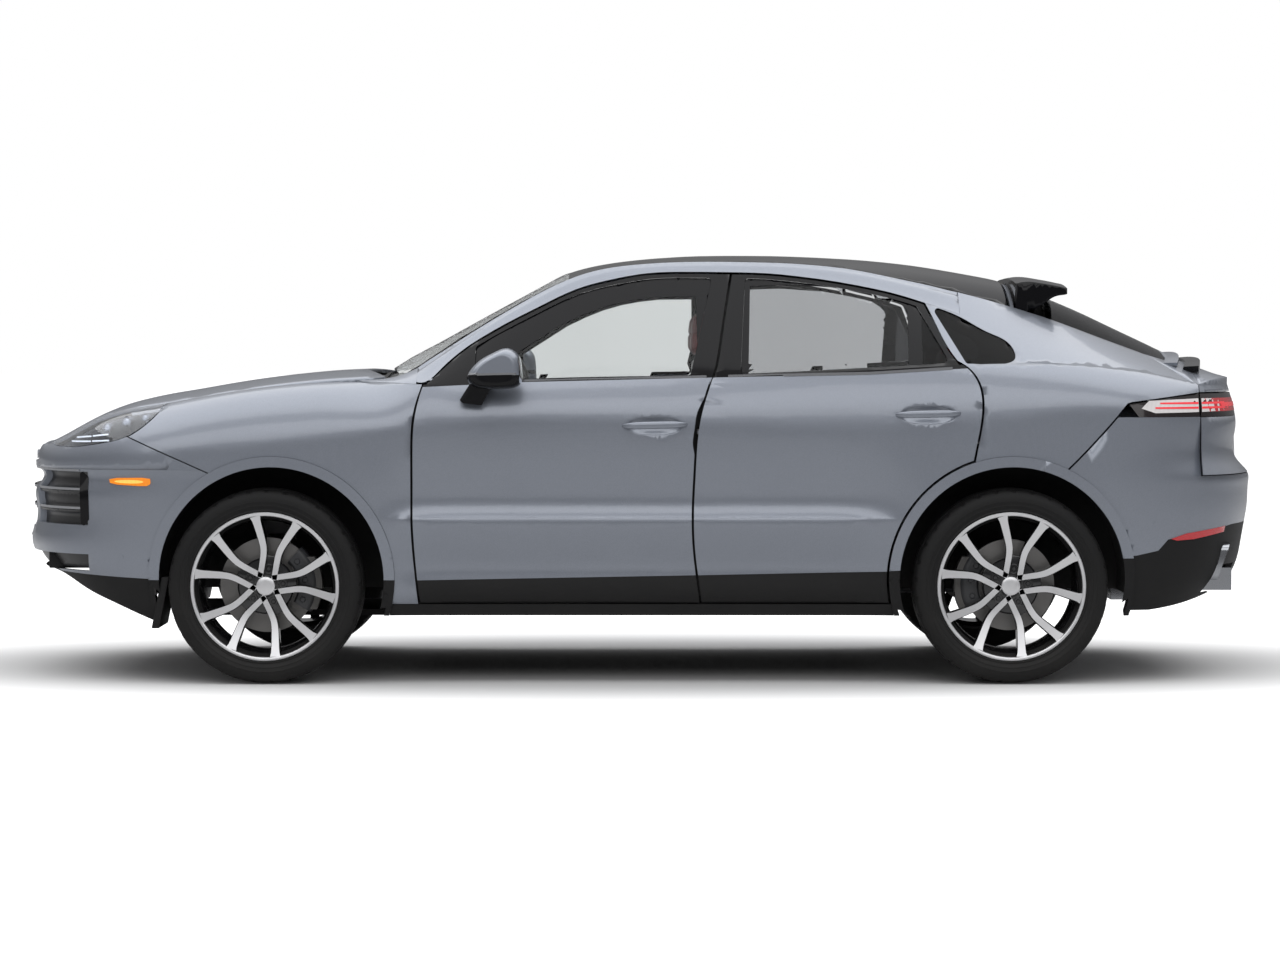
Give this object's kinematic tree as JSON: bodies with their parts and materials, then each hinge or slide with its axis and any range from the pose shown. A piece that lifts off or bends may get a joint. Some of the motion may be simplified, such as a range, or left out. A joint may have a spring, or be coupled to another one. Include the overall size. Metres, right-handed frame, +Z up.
{
  "type": "coupe sport utility vehicle",
  "caption": "Coupe sport utility vehicle with hinged doors, bonnet and tailgate, steered front wheels and a sloping roof.",
  "frame": {"origin": "on the floor, midway between the ends and the sides of the vehicle", "axes": "-X towards the front, -Y towards the vehicle's left side, +Z up"},
  "size_m": [4.9329, 2.194, 1.6779],
  "materials": {
    "body_paint": "metallic lacquer",
    "chassis_paint": "matt",
    "gloss_black": "gloss",
    "black_trim": "grained",
    "clear_glass": "clear",
    "dark_glass": "tinted",
    "lamp_clear": "clear over dark",
    "lamp_red": "gloss",
    "bare_steel": "cast",
    "disc_iron": "ground",
    "engine_alloy": "cast",
    "wheel_alloy": "machined and painted",
    "exhaust_steel": "satin",
    "tyre": "matt",
    "cabin_plastic": "grained",
    "seat_leather": "smooth"
  },
  "bodies": {
    "body_shell": {"floor_pan": "chassis_paint", "firewall": "chassis_paint", "front_wings": "body_paint", "roof_rails": "body_paint", "body_pillars": "chassis_paint", "quarter_panels": "body_paint", "sills": "black_trim", "wheelhouses": "black_trim", "chassis_frames": "chassis_paint", "arch_flares": "body_paint", "roof_panel": "gloss_black", "windscreen": "clear_glass", "quarter_glass": "dark_glass", "front_bumper": "body_paint", "nose_panels": "body_paint", "grille": "black_trim", "headlamps": "lamp_clear", "rear_bumper": "body_paint", "tail_lamps": "lamp_red", "wipers": "black_trim", "hinge_brackets": "bare_steel", "suspension_arms": "bare_steel", "rear_knuckles": "bare_steel", "engine_block": "engine_alloy", "dashboard": "cabin_plastic", "steering_column": "cabin_plastic", "front_seats": "seat_leather", "rear_seat": "seat_leather", "exhaust": "exhaust_steel", "undertrays": "black_trim"},
    "bonnet": {"bonnet": "body_paint"},
    "tailgate": {"tailgate": "body_paint", "rear_window": "dark_glass", "roof_spoiler": "gloss_black", "tail_lamp_bar": "lamp_red"},
    "steering_wheel": {"steering_wheel": "cabin_plastic"},
    "front_door_left": {"front_door_left": "body_paint", "front_door_glass_left": "clear_glass", "mirror_left": "body_paint"},
    "rear_door_left": {"rear_door_left": "body_paint", "rear_door_glass_left": "dark_glass"},
    "front_knuckle_left": {"front_knuckle_left": "bare_steel"},
    "front_wheel_left": {"front_tyre_left": "tyre", "front_rim_left": "wheel_alloy", "front_brake_disc_left": "disc_iron"},
    "rear_wheel_left": {"rear_tyre_left": "tyre", "rear_rim_left": "wheel_alloy", "rear_brake_disc_left": "disc_iron"},
    "front_door_right": {"front_door_right": "body_paint", "front_door_glass_right": "clear_glass", "mirror_right": "body_paint"},
    "rear_door_right": {"rear_door_right": "body_paint", "rear_door_glass_right": "dark_glass"},
    "front_knuckle_right": {"front_knuckle_right": "bare_steel"},
    "front_wheel_right": {"front_tyre_right": "tyre", "front_rim_right": "wheel_alloy", "front_brake_disc_right": "disc_iron"},
    "rear_wheel_right": {"rear_tyre_right": "tyre", "rear_rim_right": "wheel_alloy", "rear_brake_disc_right": "disc_iron"}
  },
  "joints": [
    {"name": "front_door_left_hinge", "type": "hinge", "parent": "body_shell", "child": "front_door_left", "pos_m": [-0.8605, -0.95774, 0.8], "axis": [0, 0, -1], "range_deg": [0, 66]},
    {"name": "rear_door_left_hinge", "type": "hinge", "parent": "body_shell", "child": "rear_door_left", "pos_m": [0.2295, -0.95536, 0.8], "axis": [0, 0, -1], "range_deg": [0, 66]},
    {"name": "front_door_right_hinge", "type": "hinge", "parent": "body_shell", "child": "front_door_right", "pos_m": [-0.8605, 0.95774, 0.8], "axis": [0, 0, 1], "range_deg": [0, 66]},
    {"name": "rear_door_right_hinge", "type": "hinge", "parent": "body_shell", "child": "rear_door_right", "pos_m": [0.2295, 0.95536, 0.8], "axis": [0, 0, 1], "range_deg": [0, 66]},
    {"name": "bonnet_hinge", "type": "hinge", "parent": "body_shell", "child": "bonnet", "pos_m": [-0.965, 0, 1.172], "axis": [0, 1, 0], "range_deg": [0, 50]},
    {"name": "tailgate_hinge", "type": "hinge", "parent": "body_shell", "child": "tailgate", "pos_m": [1.478, 0, 1.562], "axis": [0, -1, 0], "range_deg": [0, 72]},
    {"name": "front_left_steer", "type": "hinge", "parent": "body_shell", "child": "front_knuckle_left", "pos_m": [-1.452, -0.778, 0.38], "axis": [0, 0, 1], "range_deg": [-33, 33]},
    {"name": "front_right_steer", "type": "hinge", "parent": "body_shell", "child": "front_knuckle_right", "pos_m": [-1.452, 0.778, 0.38], "axis": [0, 0, 1], "range_deg": [-33, 33]},
    {"name": "steering_wheel_turn", "type": "hinge", "parent": "body_shell", "child": "steering_wheel", "pos_m": [-0.425, -0.37, 1.105], "axis": [0.9135, 0, 0.4067], "range_deg": [-462, 462]},
    {"name": "front_left_spin", "type": "hinge", "parent": "front_knuckle_left", "child": "front_wheel_left", "pos_m": [-1.452, -0.84, 0.38], "axis": [0, 1, 0], "continuous": true},
    {"name": "rear_left_spin", "type": "hinge", "parent": "body_shell", "child": "rear_wheel_left", "pos_m": [1.443, -0.84, 0.38], "axis": [0, 1, 0], "continuous": true},
    {"name": "front_right_spin", "type": "hinge", "parent": "front_knuckle_right", "child": "front_wheel_right", "pos_m": [-1.452, 0.84, 0.38], "axis": [0, 1, 0], "continuous": true},
    {"name": "rear_right_spin", "type": "hinge", "parent": "body_shell", "child": "rear_wheel_right", "pos_m": [1.443, 0.84, 0.38], "axis": [0, 1, 0], "continuous": true}
  ],
  "couplings": [
    {"joint": "front_right_steer", "follows": "front_left_steer", "ratio": 1},
    {"joint": "steering_wheel_turn", "follows": "front_left_steer", "ratio": 14}
  ]
}
